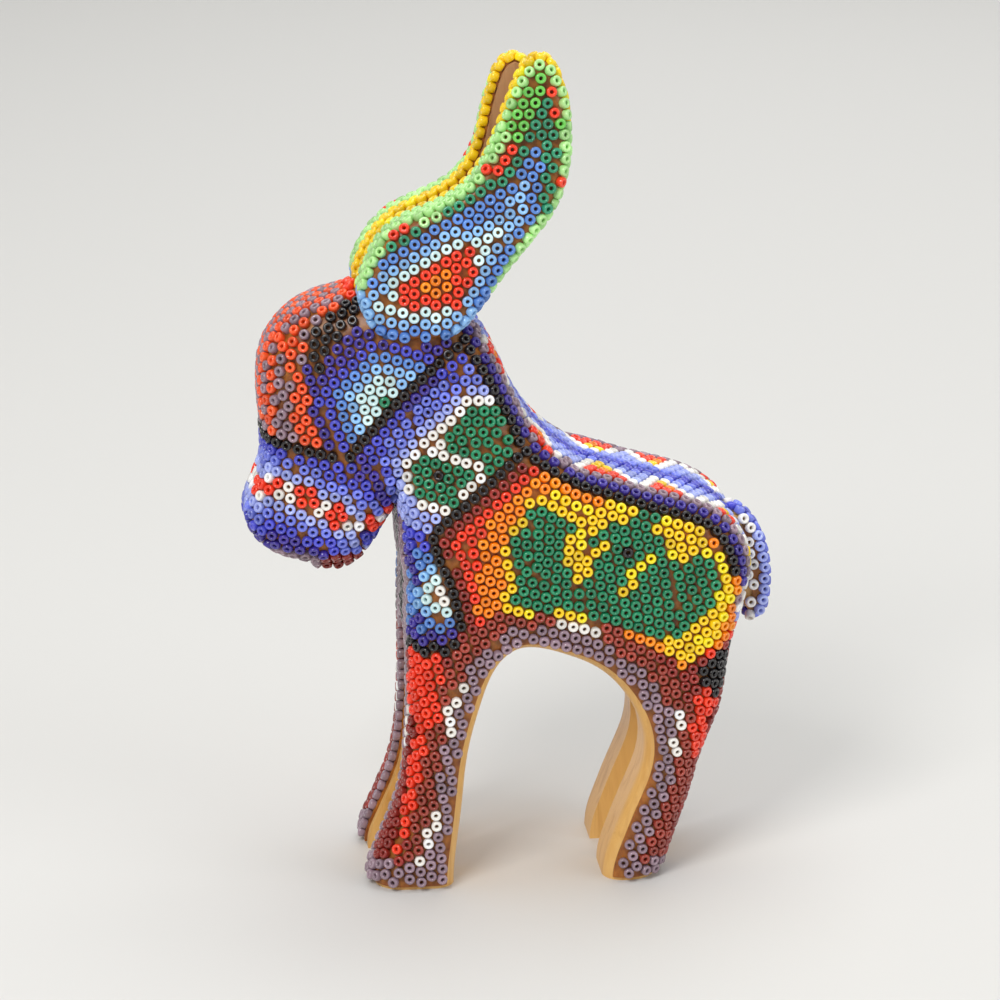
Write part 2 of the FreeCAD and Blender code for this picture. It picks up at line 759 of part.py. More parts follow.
def ear_rim(outline, side):
    """The row along the rim of an ear, beside its bare inner face."""
    edge = shifted(outline, dim("ear_inset") - 1.0, True)
    y = side * (dim("ear_gap_half") + 1.5)
    start = 29
    order = edge[start:] + edge[:start]
    return [Vector(x, y, z) for x, z in order + order[:1]]


# Guide lines on the body: places in the bead layer as x, distance from the middle plane, z.
BACK_LINE = [(-9.4, 12.1, 110.1), (-8.0, 13.2, 107.1), (-3.1, 13.6, 98.6), (-0.6, 14.0, 94.2),
             (1.1, 15.7, 89.3), (3.5, 16.2, 87.0), (8.1, 16.7, 84.0), (15.4, 16.7, 80.6),
             (31.2, 16.9, 75.4), (36.3, 16.8, 73.6), (39.4, 17.3, 70.8), (41.5, 17.9, 66.7),
             (42.6, 17.5, 61.6)]
NECK_LINE = [(0.4, 16.6, 88.0), (-2.6, 17.9, 85.5), (-10.8, 17.9, 77.9), (-15.0, 17.6, 74.4),
             (-16.4, 17.4, 71.9), (-15.5, 17.7, 68.0), (-13.6, 18.6, 64.2), (-12.3, 18.7, 60.1),
             (-11.0, 18.7, 53.6)]
CHEEK_LINE = [(-10.6, 13.1, 109.1), (-14.5, 13.6, 106.0), (-22.2, 14.7, 99.1),
              (-29.5, 14.1, 90.7), (-32.5, 13.4, 86.8)]
NOSE_LINE = [(-47.9, 0.0, 91.0), (-47.3, 6.7, 90.1), (-43.9, 10.2, 89.4), (-40.1, 11.4, 88.5),
             (-36.4, 12.4, 87.8), (-32.5, 13.4, 86.8)]
FACE_LINE = [(-28.0, 0.0, 118.4), (-34.0, 0.0, 117.6), (-39.0, 0.0, 115.4), (-43.6, 0.0, 111.8),
             (-46.6, 0.0, 107.0), (-47.8, 0.0, 101.0), (-47.6, 0.0, 93.0)]
FRONT_LINE = [(-21.6, 0.0, 76.0), (-20.4, 0.0, 68.0), (-20.0, 0.0, 60.0), (-20.0, 0.0, 51.5)]
TAIL_LINE = [(46.4, 0.0, 69.6), (48.6, 0.0, 67.4), (49.9, 0.0, 64.4), (51.0, 0.0, 60.0),
             (51.2, 0.0, 55.0), (50.4, 0.0, 50.6)]

for bed, outline, side in (("left", LEFT_EAR, -1.0), ("right", RIGHT_EAR, 1.0)):
    first = len(beads)
    lay_line(ear_rim(outline, side), bed, "rim")
    grow(first, 1.25 * PITCH)
    grow(first, 1.96 * PITCH)

first = len(beads)
lay_line([Vector(*p) for p in FACE_LINE], "body", "face")
arch_row = on_floor(shifted(ARCH, -3.0, False))
for side in (-1.0, 1.0):
    lay_line([Vector(x, side * 17.0, z) for x, z in arch_row], "body", "arch")
for name, line in (("back", BACK_LINE), ("neck", NECK_LINE), ("cheek", CHEEK_LINE),
                   ("nose", NOSE_LINE)):
    for points in both_sides(line):
        lay_line(points, "body", name)
lay_line([Vector(*p) for p in FRONT_LINE], "body", "front")
grow(first, 1.25 * PITCH)
grow(first, 1.96 * PITCH)

first = len(beads)
lay_line([Vector(*p) for p in TAIL_LINE], "tail", "tail")
grow(first, 1.25 * PITCH)
grow(first, 1.96 * PITCH)

for _ in range(2):
    relax(8)
    grow(0, 1.96 * PITCH)


# ---------------------------------------------------------------- pattern

# Everything here is in side view, as x and z. A band is a row of beads of one colour; a bead
# takes the colour of the band that lies nearest.
EAR_BANDS = [
    ("pale", [(-25.5, 117.0), (-23.0, 121.0), (-17.5, 125.0), (-11.5, 127.5), (-3.0, 131.0),
              (-5.5, 128.0), (-9.0, 120.0), (-11.5, 116.0), (-13.5, 114.5), (-19.0, 115.5),
              (-25.5, 117.0)]),
    ("light_blue", [(-26.0, 115.0), (-28.0, 118.0), (-23.5, 123.5), (-15.5, 128.0),
                    (-5.0, 132.5), (2.5, 138.5), (-1.0, 130.5), (-5.5, 122.5), (-10.5, 115.5),
                    (-13.0, 112.5), (-20.0, 114.0), (-26.0, 115.0)]),
    ("medium_blue", [(-28.5, 121.0), (-24.0, 125.5), (-18.0, 129.5), (-3.5, 135.5),
                     (1.5, 140.0), (5.0, 145.0), (4.0, 136.0), (-0.5, 128.5), (-7.0, 116.5)]),
    ("medium_blue", [(-25.0, 111.5), (-19.0, 111.0), (-12.0, 110.0)]),
    ("dark_green", [(-29.0, 123.0), (-24.0, 128.0), (-20.0, 130.5), (-7.5, 136.5),
                    (-2.0, 140.5), (1.5, 144.0), (4.0, 148.0), (6.0, 153.0), (7.0, 144.0),
                    (6.8, 138.0), (4.5, 130.5), (0.5, 126.0)]),
    ("light_green", [(-21.5, 131.5), (-9.0, 137.7), (-3.5, 142.0), (-0.5, 145.6),
                     (2.2, 150.0), (4.2, 155.5), (6.0, 159.5)]),
    ("light_green", [(9.0, 152.0), (9.3, 146.0), (9.0, 140.5), (6.8, 133.5)]),
]
EAR_RED = [(-24.3, 117.8), (-18.4, 122.9), (-6.4, 128.9), (-8.0, 122.7), (-11.2, 116.9),
           (-17.3, 116.3)]
EAR_ORANGE = [(-19.0, 118.3), (-17.6, 121.3), (-12.0, 123.5), (-12.4, 120.0)]
EAR_DASHES = [
    [(-24.5, 129.4), (-17.5, 133.6)],
    [(-5.4, 140.4), (-0.2, 146.4)],
    [(7.4, 157.4), (8.6, 152.2)],
    [(9.6, 140.2), (7.6, 133.4)],
]
EYE_BANDS = [
    ("navy", [(-35.5, 89.0), (-37.5, 93.5), (-39.0, 101.0), (-36.0, 104.5), (-29.5, 111.0),
              (-16.0, 108.5)]),
    ("cobalt", [(-34.5, 90.5), (-37.0, 100.5), (-28.5, 109.0), (-18.0, 107.5)]),
    ("medium_blue", [(-32.5, 92.5), (-34.5, 101.0), (-28.0, 107.0), (-19.5, 105.5)]),
    ("light_blue", [(-31.0, 94.0), (-32.5, 100.5), (-27.5, 105.0), (-21.0, 103.5)]),
    ("pale", [(-29.0, 96.5), (-30.5, 100.0), (-27.0, 103.0), (-24.0, 101.5)]),
]
EYE_GREEN = (-26.0, 98.5)
EYE_BLACK = [(-38.6, 103.0), (-40.2, 108.6), (-37.3, 112.6), (-32.6, 115.8), (-29.0, 119.0),
             (-26.0, 117.0), (-26.0, 112.6), (-31.3, 111.8), (-34.6, 108.6), (-37.2, 104.4)]
STRIPE_EDGE = [(-37.0, 88.6), (-38.2, 93.0), (-39.5, 98.9), (-39.8, 104.7), (-39.0, 109.4),
               (-36.4, 113.2), (-32.0, 116.2), (-28.0, 118.6)]
NECK_BANDS = [
    ("navy", [(-11.5, 108.0), (-17.5, 101.0), (-24.5, 94.0), (-31.0, 88.5), (-29.5, 85.0),
              (-27.0, 82.0), (-25.0, 79.0)]),
    ("cobalt", [(-10.5, 106.0), (-19.5, 98.5), (-28.0, 90.5), (-26.0, 88.5), (-25.0, 82.5)]),
    ("periwinkle", [(-9.0, 103.0), (-13.5, 100.5), (-21.5, 91.5), (-25.0, 88.0),
                    (-23.0, 79.0)]),
    ("light_periwinkle", [(-8.0, 100.5), (-10.5, 100.5), (-18.0, 92.5), (-23.0, 87.0),
                          (-21.0, 79.0), (-17.0, 74.5)]),
    ("white", [(-7.5, 98.4), (-9.5, 98.5), (-16.0, 91.5), (-21.0, 86.5), (-20.0, 82.0),
               (-18.6, 78.5), (-14.0, 77.6)]),
    ("white", [(-15.5, 89.5), (-13.5, 89.0), (-12.0, 87.0), (-8.5, 86.0)]),
]
NECK_GREEN = [
    [(-13.2, 93.6), (-8.4, 98.0), (-3.3, 96.6), (-0.2, 91.0), (-2.6, 86.0), (-6.6, 84.4),
     (-7.6, 87.0), (-11.4, 88.0), (-13.4, 90.6)],
    [(-19.9, 85.6), (-17.2, 88.4), (-13.4, 87.6), (-10.6, 85.6), (-7.2, 84.6), (-12.4, 78.6),
     (-16.2, 78.8), (-19.2, 81.0)],
]
NECK_BLACK = (-16.0, 83.5)
SHOULDER_BANDS = [
    ("black", [(-21.5, 50.2), (-19.0, 49.8), (-15.0, 49.2), (-11.5, 51.5)]),
    ("navy", [(-20.0, 67.0), (-19.5, 52.6), (-15.5, 51.5), (-12.5, 53.0)]),
    ("cobalt", [(-20.5, 73.0), (-18.6, 71.5)]),
    ("medium_blue", [(-17.5, 68.5), (-20.0, 64.0), (-20.0, 54.8), (-17.0, 54.0),
                     (-13.2, 54.8)]),
    ("light_blue", [(-16.5, 66.2), (-18.8, 62.0), (-19.0, 57.0), (-14.0, 56.2)]),
    ("pale", [(-16.4, 64.2), (-17.8, 60.6), (-16.5, 58.6), (-14.5, 58.4)]),
    ("white", [(-15.6, 62.4), (-16.4, 60.6), (-15.0, 60.2)]),
]
SHOULDER_BLACK = [(-18.4, 75.6), (-14.0, 76.0), (-13.0, 70.0), (-12.6, 64.0), (-14.6, 64.0),
                  (-16.6, 68.0)]
FLANK_GREEN = [
    (-0.9, 58.2), (-1.0, 72.0), (3.9, 79.2), (7.9, 77.4), (10.1, 73.6), (10.9, 70.8),
    (10.0, 66.6), (11.0, 64.3), (13.2, 66.9), (13.0, 70.2), (16.4, 73.6), (21.0, 74.6),
    (23.6, 76.6), (27.4, 76.4), (26.0, 72.4), (27.6, 70.4), (29.3, 66.0), (31.2, 65.6),
    (33.6, 67.6), (38.0, 65.0), (39.2, 60.2), (37.2, 56.2), (34.4, 52.6), (30.2, 49.8),
    (22.0, 51.8), (12.0, 56.0), (4.0, 57.6),
]
FLANK_VEINS = [
    [(10.8, 72.0), (10.4, 67.0), (11.2, 62.6)],
    [(17.3, 69.9), (13.7, 66.4), (11.2, 62.2)],
    [(26.4, 66.9), (23.4, 64.2), (19.1, 60.1)],
]
FLANK_BLACK = (21.8, 68.5)
FLANK_YELLOW = [
    (-4.2, 57.0), (-3.0, 63.8), (-3.6, 67.9), (-2.8, 72.4), (1.2, 78.6), (4.6, 81.6),
    (9.0, 80.2), (15.6, 78.2), (23.4, 78.0), (29.0, 76.4), (35.8, 73.9), (36.3, 70.0),
    (41.0, 65.2), (42.0, 59.9), (40.3, 53.4), (38.0, 49.0), (33.0, 45.6), (28.0, 48.0),
    (30.0, 53.0),
]
FLANK_ORANGE = [
    (-8.2, 56.6), (-7.8, 66.0), (-6.7, 72.4), (-3.4, 79.0), (1.6, 84.0), (5.0, 84.2),
    (12.1, 81.6), (23.8, 79.0), (33.8, 76.2), (39.6, 70.4), (43.8, 61.6), (43.4, 52.4),
    (39.9, 48.8), (32.0, 44.0), (28.0, 48.0), (0.0, 57.0),
]
RUMP_BLACK = [(35.4, 45.2), (41.4, 48.2), (42.0, 41.5), (38.0, 36.6), (36.2, 40.2)]
WHITE_DASHES = [
    [(7.0, 54.0), (11.5, 53.0), (15.5, 51.5)],
    [(-11.4, 42.5), (-13.2, 37.5), (-13.2, 33.0)],
    [(-16.5, 15.0), (-17.9, 10.8), (-18.9, 6.4)],
    [(31.6, 34.4), (30.2, 24.4)],
]
FRONT_DASH = (27.0, 37.4)
LEG_RED = [(-17.6, 48.5), (-17.9, 38.0), (-18.6, 31.0), (-19.6, 24.5), (-21.0, 17.0),
           (-23.6, 8.0)]
RUMP_RED = [(38.5, 50.0), (37.6, 45.0), (36.6, 36.0), (34.8, 27.0)]
MUZZLE_BANDS = [
    ("cobalt", [(-49.0, 88.2), (-44.0, 88.0), (-39.5, 86.5), (-31.0, 82.5), (-27.0, 80.0)]),
    ("periwinkle", [(-49.0, 85.8), (-43.0, 85.5), (-35.0, 82.0), (-27.5, 77.5)]),
    ("light_periwinkle", [(-50.0, 83.6), (-43.0, 83.5), (-35.0, 79.7), (-29.0, 76.0)]),
    ("upper_zigzag", [(-50.0, 81.5), (-44.5, 81.5), (-38.5, 79.2), (-29.0, 73.5)]),
    ("lower_zigzag", [(-51.0, 79.4), (-44.5, 79.4), (-37.0, 75.8), (-31.0, 72.0)]),
    ("light_periwinkle", [(-52.0, 77.3), (-45.0, 77.3), (-37.0, 73.6), (-30.0, 70.2)]),
    ("periwinkle", [(-51.0, 75.2), (-45.0, 75.2), (-36.5, 71.7), (-32.0, 69.6)]),
    ("cobalt", [(-51.5, 73.0), (-44.5, 73.0), (-37.0, 69.6), (-29.0, 71.0)]),
    ("navy", [(-51.0, 70.6), (-44.5, 70.6), (-36.0, 66.0)]),
]
BACK_TRIANGLES = [(7.0, 5.5), (24.5, 5.5), (41.5, 5.2), (54.5, 4.8), (65.0, 3.4), (74.0, 2.8)]


def nearest_band(bands, x, z):
    return min(bands, key=lambda band: distance_to(band[1], x, z))[0]


def near_spot(spot, x, z):
    return math.hypot(x - spot[0], z - spot[1]) < 1.15


def ear_colour(bead):
    x, y, z = bead.centre
    if bead.guide == "rim" and bead.row == 0:
        return "yellow"
    outline = LEFT_EAR
    if bead.bed == "right":
        outline = RIGHT_EAR
    edge = distance_to(outline + outline[:1], x, z)
    if z > 150.0 and bead.row <= 1:
        return "yellow"
    if abs(bead.axis.y) < 0.45 and z > 119.0:
        return "yellow" if bead.bed == "right" and bead.row == 1 else "pale_green"
    if bead.bed == "right":
        x += 5.0 * min(1.0, max(0.0, (z - 132.0) / 20.0))
    if any(distance_to(dash, x, z) < 1.0 for dash in EAR_DASHES):
        return "red"
    if edge < 1.7 and z > 121.0:
        return "pale_green"
    if within(EAR_ORANGE, x, z):
        return "orange"
    if within(EAR_RED, x, z):
        return "red"
    return nearest_band(EAR_BANDS, x, z)


def back_colour(bead):
    """Strip along the mane and the back: black, navy and lavender rows, then triangles."""
    x, y, z = bead.centre
    best = 1e9
    place = 0.0
    run = 0.0
    for a, b in zip(BACK_LINE, BACK_LINE[1:]):
        start = Vector(a[0], a[1], a[2])
        step = Vector(b[0], b[1], b[2]) - start
        t = (Vector(x, abs(y), z) - start).dot(step) / step.dot(step)
        t = min(1.0, max(0.0, t))
        gap = (Vector(x, abs(y), z) - start - step * t).Length
        flat = math.hypot(step.x, step.z)
        if gap < best:
            best = gap
            place = run + t * flat
        run += flat
    row = int(round(best / 1.9))
    if row == 0:
        return "black"
    if row == 1:
        return "navy"
    offset, half = min([(abs(place - middle), size) for middle, size in BACK_TRIANGLES])
    depth = half - 1.25 * (row - 2)
    if row == 2:
        return "lavender"
    if offset < depth:
        if depth < 1.6 or (row >= 5 and offset < depth - 1.5):
            return "yellow"
        if row >= 4 and offset < depth - 1.2:
            return "orange"
        return "red"
    if offset < depth + 2.2:
        return "white"
    if row >= 5 and abs(y) < 4.2:
        return "cobalt" if abs(y) < 2.0 else "periwinkle"
    return "light_periwinkle" if row >= 4 else "lavender"


def muzzle_colour(bead):
    x, y, z = bead.centre
    if x > -36.5 and z < 67.6:
        return "dark_red"
    if bead.axis.z < -0.75 or z < 68.0 - 0.25 * (x + 44.0):
        return "lavender"
    colour = nearest_band(MUZZLE_BANDS, x, z)
    along = x - 0.6 * max(0.0, 9.5 - abs(y))
    if colour == "upper_zigzag":
        return "white" if abs((along + 42.5 + 2.9) % 5.85 - 2.9) < 1.0 else "red"
    if colour == "lower_zigzag":
        return "red" if abs((along + 46.5 + 2.9) % 5.95 - 2.9) < 1.0 else "white"
    return colour


def flank_colour(x, z):
    if within(RUMP_BLACK, x, z):
        return "black"
    if near_spot(FLANK_BLACK, x, z):
        return "black"
    if within(FLANK_GREEN, x, z):
        if any(distance_to(vein, x, z) < 1.0 for vein in FLANK_VEINS):
            return "yellow"
        return "green"
    if within(FLANK_YELLOW, x, z):
        return "yellow"
    if within(FLANK_ORANGE, x, z):
        return "orange"
    side = [(px, pz) for px, across, pz in NECK_LINE]
    if x < 2.0 and z > 52.0 and distance_to(side, x, z) < 3.0:
        return "dark_red"
    return "red"


def leg_colour(bead, edge):
    x, y, z = bead.centre
    across = abs(y)
    if x < 10.0:
        if z < 5.6:
            return "lavender"
        if x < -16.0 and across < 9.8:
            return "lavender"
        if FRONT_DASH[0] < z < FRONT_DASH[1] and 9.8 <= across < 11.9 and x < -17.0:
            return "white"
        if distance_to(LEG_RED, x, z) < (3.0 if z > 34.0 else 1.15) and across > 12.0:
            return "red"
        return "dark_red" if edge > 9.8 else "brown"
    if z < 4.0:
        return "lavender"
    if across < 9.8:
        return "lavender"
    if within(RUMP_BLACK, x, z) and across > 13.0:
        return "black"
    if distance_to(RUMP_RED, x, z) < 1.9 and across > 12.0:
        return "red"
    return "brown" if edge < 9.8 else "dark_red"


FACE_AREA = [(-9.0, 111.0)] + [(x, z) for x, across, z in CHEEK_LINE] + \
    [(x, z) for x, across, z in reversed(NOSE_LINE)] + [(-60.0, 90.5), (-60.0, 125.0)]
STRIPE_AREA = STRIPE_EDGE + [(-60.0, 125.0), (-60.0, 88.0)]
STRIP_AREA = [(x, z) for x, across, z in BACK_LINE] + [(42.6, 50.0), (60.0, 50.0),
                                                       (60.0, 125.0), (-9.4, 125.0)]
NECK_AREA = [(x, z) for x, across, z in CHEEK_LINE] + [(-26.0, 78.0), (-22.5, 74.6)] + \
    [(x, z) for x, across, z in reversed(NECK_LINE[:5])] + [(1.1, 89.3), (-8.0, 107.1)]
SHOULDER_AREA = [(-30.0, 74.6), (-16.0, 74.6)] + [(x, z) for x, across, z in NECK_LINE[4:]] + \
    [(-11.0, 50.0), (-15.0, 48.4), (-30.0, 49.0)]
MUZZLE_AREA = [(x, z) for x, across, z in NOSE_LINE] + [(-26.0, 78.6), (-25.0, 70.0),
                                                        (-28.0, 60.0), (-60.0, 60.0),
                                                        (-60.0, 91.0)]


def body_colour(bead):
    x, y, z = bead.centre
    across = abs(y)
    if bead.row == 0 and bead.guide in ("back", "neck", "cheek", "nose"):
        return "back" if bead.guide == "back" else "head", "black"
    if within(MUZZLE_AREA, x, z):
        return "head", muzzle_colour(bead)
    if within(FACE_AREA, x, z):
        if near_spot(EYE_GREEN, x, z):
            return "head", "green"
        if within(EYE_BLACK, x, z):
            return "head", "black"
        if within(STRIPE_AREA, x, z):
            column = bead.row if bead.guide == "face" else int(round(across / 1.9))
            return "head", "lavender" if column % 2 else "orange_red"
        return "head", nearest_band(EYE_BANDS, x, z)
    if within(STRIP_AREA, x, z):
        return "back", back_colour(bead)
    if within(NECK_AREA, x, z):
        if near_spot(NECK_BLACK, x, z):
            return "head", "black"
        if x < -20.5 and across < 8.0:
            return "head", "navy"
        if any(within(lobe, x, z) for lobe in NECK_GREEN):
            return "head", "green"
        return "head", nearest_band(NECK_BANDS, x, z)
    if within(SHOULDER_AREA, x, z):
        if within(SHOULDER_BLACK, x, z):
            return "head", "black"
        if across < 11.0 and x < -18.5:
            return "head", "lavender" if across > 3.0 else "black"
        return "head", nearest_band(SHOULDER_BANDS, x, z)
    edge = distance_to(ARCH, x, z)
    if any(distance_to(dash, x, z) < 1.0 for dash in WHITE_DASHES) and across > 15.0:
        return "legs", "white"
    if edge < 5.9:
        return "legs", "lavender"
    if z < 49.0 and not within(FLANK_ORANGE, x, z):
        return "legs", leg_colour(bead, edge)
    if edge < 9.8 and not within(FLANK_GREEN, x, z) and not within(FLANK_YELLOW, x, z):
        return "legs", "brown"
    return "flank", flank_colour(x, z)


def tail_colour(bead):
    x, y, z = bead.centre
    if abs(y) > 2.6:
        return "white" if x < 48.4 else "light_periwinkle"
    return "cobalt" if abs(y) < 1.2 else "periwinkle"


# ---------------------------------------------------------------- bead groups

def bead_solid():
    """A short tube with bevelled ends, standing on the origin."""
    hole = dim("bead_hole") / 2.0
    rim = dim("bead_diameter") / 2.0
    top = dim("bead_height")
    bevel = dim("bead_bevel")
    profile = [(hole, 0.0), (rim - bevel, 0.0), (rim, bevel), (rim, top - bevel),
               (rim - bevel, top), (hole, top), (hole, 0.0)]
    wire = Part.makePolygon([Vector(r, 0, z) for r, z in profile])
    return Part.Face(wire).revolve(Vector(0, 0, 0), Vector(0, 0, 1), 360)


groups = {}
for bead in beads:
    if bead.bed in ("left", "right"):
        key = ("ears", ear_colour(bead))
    elif bead.bed == "tail":
        key = ("back", tail_colour(bead))
    else:
        key = body_colour(bead)
    groups.setdefault(key, []).append(bead)

template = bead_solid()
bead_nodes = []
for region, colour in sorted(groups):
    solids = []
    for bead in groups[(region, colour)]:
        solid = template.copy()
        seat = bead.centre - bead.axis * (dim("bead_height") / 2.0)
        solid.Placement = FreeCAD.Placement(seat, FreeCAD.Rotation(Vector(0, 0, 1), bead.axis))
        solids.append(solid)
    bead_nodes.append(feature("beads_%s_%s" % (region, colour), Part.makeCompound(solids)))


# ---------------------------------------------------------------- centring and export

def half_extent(bead, direction):
    """How far a bead reaches from its centre along a direction."""
    along = abs(bead.axis.dot(direction))
    across = math.sqrt(max(0.0, 1.0 - along * along))
    return along * dim("bead_height") / 2.0 + across * dim("bead_diameter") / 2.0


def middle_of(direction):
    """Middle of the whole figure along a direction: beads stand out furthest on every side."""
    low = min(bead.centre.dot(direction) - half_extent(bead, direction) for bead in beads)
    high = max(bead.centre.dot(direction) + half_extent(bead, direction) for bead in beads)
    return (low + high) / 2.0


shift = Vector(-middle_of(Vector(1, 0, 0)), -middle_of(Vector(0, 1, 0)), 0)
nodes = [body_wood, ear_left, ear_right, tail, ear_dowel_left, ear_dowel_right, tail_peg,
         wax_body, wax_ear_left, wax_ear_right, wax_tail] + bead_nodes
for item in nodes:
    item.Placement = FreeCAD.Placement(shift, FreeCAD.Rotation()).multiply(item.Placement)
doc.recompute()

for item in doc.Objects:
    if "Invalid" in item.State or "Error" in item.State:
        raise RuntimeError("object %s did not recompute: %s" % (item.Name, item.State))
for item in nodes:
    if item.Shape.isNull() or not item.Shape.isValid() or not item.Shape.Solids:
        raise RuntimeError("sub-part %s has no valid shape" % item.Label)

os.makedirs("parts", exist_ok=True)
for item in nodes:
    item.Shape.exportStep("parts/%s.step" % item.Label)
print("%d sub-parts, %d beads, moved by %.3f %.3f" % (len(nodes), len(beads), shift.x, shift.y))
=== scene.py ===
import math

import bpy
import numpy as np
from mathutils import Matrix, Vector


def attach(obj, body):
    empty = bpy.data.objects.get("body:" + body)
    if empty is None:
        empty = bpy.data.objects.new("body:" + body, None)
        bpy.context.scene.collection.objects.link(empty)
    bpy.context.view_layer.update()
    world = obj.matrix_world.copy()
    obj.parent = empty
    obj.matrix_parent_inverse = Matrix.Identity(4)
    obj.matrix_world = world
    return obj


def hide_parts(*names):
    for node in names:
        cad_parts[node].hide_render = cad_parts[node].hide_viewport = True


# Beaded donkey: pale carved wood, amber wax and glass seed beads.

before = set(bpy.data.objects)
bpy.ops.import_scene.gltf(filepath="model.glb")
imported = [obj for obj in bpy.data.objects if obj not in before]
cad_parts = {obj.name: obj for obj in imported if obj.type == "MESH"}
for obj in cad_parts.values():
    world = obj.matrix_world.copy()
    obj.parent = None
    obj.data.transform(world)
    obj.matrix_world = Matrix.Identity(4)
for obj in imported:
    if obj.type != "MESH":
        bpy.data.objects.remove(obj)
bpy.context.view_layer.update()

PALETTE = {
    "yellow": (0.98, 0.66, 0.01), "orange": (1.0, 0.26, 0.005), "orange_red": (0.95, 0.105, 0.025),
    "red": (0.92, 0.048, 0.015), "dark_red": (0.29, 0.025, 0.018), "brown": (0.34, 0.048, 0.03),
    "lavender": (0.30, 0.205, 0.255), "black": (0.012, 0.010, 0.012), "navy": (0.055, 0.035, 0.30),
    "cobalt": (0.07, 0.075, 0.55), "periwinkle": (0.17, 0.21, 0.74),
    "light_periwinkle": (0.36, 0.42, 0.86), "medium_blue": (0.11, 0.26, 0.66),
    "light_blue": (0.26, 0.50, 0.84), "pale": (0.62, 0.83, 0.84), "white": (0.90, 0.87, 0.82),
    "green": (0.014, 0.23, 0.105), "dark_green": (0.03, 0.27, 0.14),
    "light_green": (0.17, 0.62, 0.10), "pale_green": (0.45, 0.80, 0.30),
}

GLASS_SHADES = (1.0, 1.22, 0.80)
SHADE_ODDS = (0.62, 0.20, 0.18)
BRIGHTEST = 0.98


def node_colour(name):
    """Colour word at the end of a bead node's name, longest word first."""
    for colour in sorted(PALETTE, key=len, reverse=True):
        if name.endswith("_" + colour):
            return colour
    return "white"


def bead_glass(colour, shade):
    """Opaque glass with a hard gloss. Shade makes some beads lighter and some darker."""
    mat = bpy.data.materials.new("bead_%s_%d" % (colour, round(shade * 100)))
    mat.use_nodes = True
    shader = mat.node_tree.nodes["Principled BSDF"]
    r, g, b = [min(BRIGHTEST, part * shade) for part in PALETTE[colour]]
    shader.inputs["Base Color"].default_value = (r, g, b, 1.0)
    shader.inputs["Roughness"].default_value = 0.16
    shader.inputs["IOR"].default_value = 1.52
    shader.inputs["Coat Weight"].default_value = 0.3
    shader.inputs["Coat Roughness"].default_value = 0.06
    shader.inputs["Subsurface Weight"].default_value = 0.10 if colour != "black" else 0.0
    shader.inputs["Subsurface Radius"].default_value = (0.0008, 0.0008, 0.0008)
    shader.inputs["Subsurface Scale"].default_value = 1.0
    return mat


def value_node(nodes, kind, **inputs):
    """A shader node with its constant inputs set by name."""
    node = nodes.new(kind)
    for name, value in inputs.items():
        node.inputs[name.replace("_", " ")].default_value = value
    return node


def ramp(nodes, stops):
    """A colour ramp with its stops given as position and colour."""
    node = nodes.new("ShaderNodeValToRGB")
    elements = node.color_ramp.elements
    while len(elements) < len(stops):
        elements.new(0.5)
    for element, (position, colour) in zip(elements, stops):
        element.position = position
        element.color = (colour[0], colour[1], colour[2], 1.0)
    return node


def carved_wood(name, light, dark):
    """Pale varnished pine: long grain, fine pores and a soft satin coat."""
    mat = bpy.data.materials.new(name)
    mat.use_nodes = True
    nodes = mat.node_tree.nodes
    links = mat.node_tree.links
    shader = nodes["Principled BSDF"]
    place = nodes.new("ShaderNodeTexCoord")
    stretch = nodes.new("ShaderNodeMapping")
    stretch.inputs["Scale"].default_value = (160.0, 160.0, 16.0)
    stretch.inputs["Rotation"].default_value = (0.10, 0.16, 0.0)
    grain = value_node(nodes, "ShaderNodeTexNoise", Scale=1.6, Detail=7.0, Roughness=0.62,
                       Distortion=1.4)
    pores = value_node(nodes, "ShaderNodeTexNoise", Scale=14.0, Detail=3.0, Roughness=0.6)
    colours = ramp(nodes, [(0.30, dark), (0.52, light), (0.78, [0.5 * (a + b) for a, b in
                                                              zip(light, dark)])])
    links.new(place.outputs["Object"], stretch.inputs["Vector"])
    links.new(stretch.outputs["Vector"], grain.inputs["Vector"])
    links.new(stretch.outputs["Vector"], pores.inputs["Vector"])
    links.new(grain.outputs["Fac"], colours.inputs["Fac"])
    links.new(colours.outputs["Color"], shader.inputs["Base Color"])
    bump = value_node(nodes, "ShaderNodeBump", Strength=0.35, Distance=0.0002)
    links.new(pores.outputs["Fac"], bump.inputs["Height"])
    links.new(bump.outputs["Normal"], shader.inputs["Normal"])
    shader.inputs["Roughness"].default_value = 0.42
    shader.inputs["Coat Weight"].default_value = 0.25
    shader.inputs["Coat Roughness"].default_value = 0.25
    return mat


def amber_wax_with_painted_shade(name):
    """Beeswax, amber and slightly lumpy where the beads press into it; its colour is darkened to a
    deep amber that paints the shade in the seams between the beads.
    """
    mat = bpy.data.materials.new(name)
    mat.use_nodes = True
    nodes = mat.node_tree.nodes
    links = mat.node_tree.links
    shader = nodes["Principled BSDF"]
    place = nodes.new("ShaderNodeTexCoord")
    lumps = value_node(nodes, "ShaderNodeTexNoise", Scale=420.0, Detail=3.0, Roughness=0.55)
    # Amber wax colours, darkened further as painted shade for the seams between the beads.
    colours = ramp(nodes, [(0.32, (0.20, 0.050, 0.005)), (0.70, (0.44, 0.155, 0.018))])
    bump = value_node(nodes, "ShaderNodeBump", Strength=0.5, Distance=0.00025)
    links.new(place.outputs["Object"], lumps.inputs["Vector"])
    links.new(lumps.outputs["Fac"], colours.inputs["Fac"])
    links.new(colours.outputs["Color"], shader.inputs["Base Color"])
    links.new(lumps.outputs["Fac"], bump.inputs["Height"])
    links.new(bump.outputs["Normal"], shader.inputs["Normal"])
    shader.inputs["Roughness"].default_value = 0.38
    shader.inputs["Subsurface Weight"].default_value = 0.25
    shader.inputs["Subsurface Radius"].default_value = (0.0012, 0.0005, 0.0002)
    shader.inputs["Subsurface Scale"].default_value = 1.0
    return mat


# ---------------------------------------------------------------- glass beads

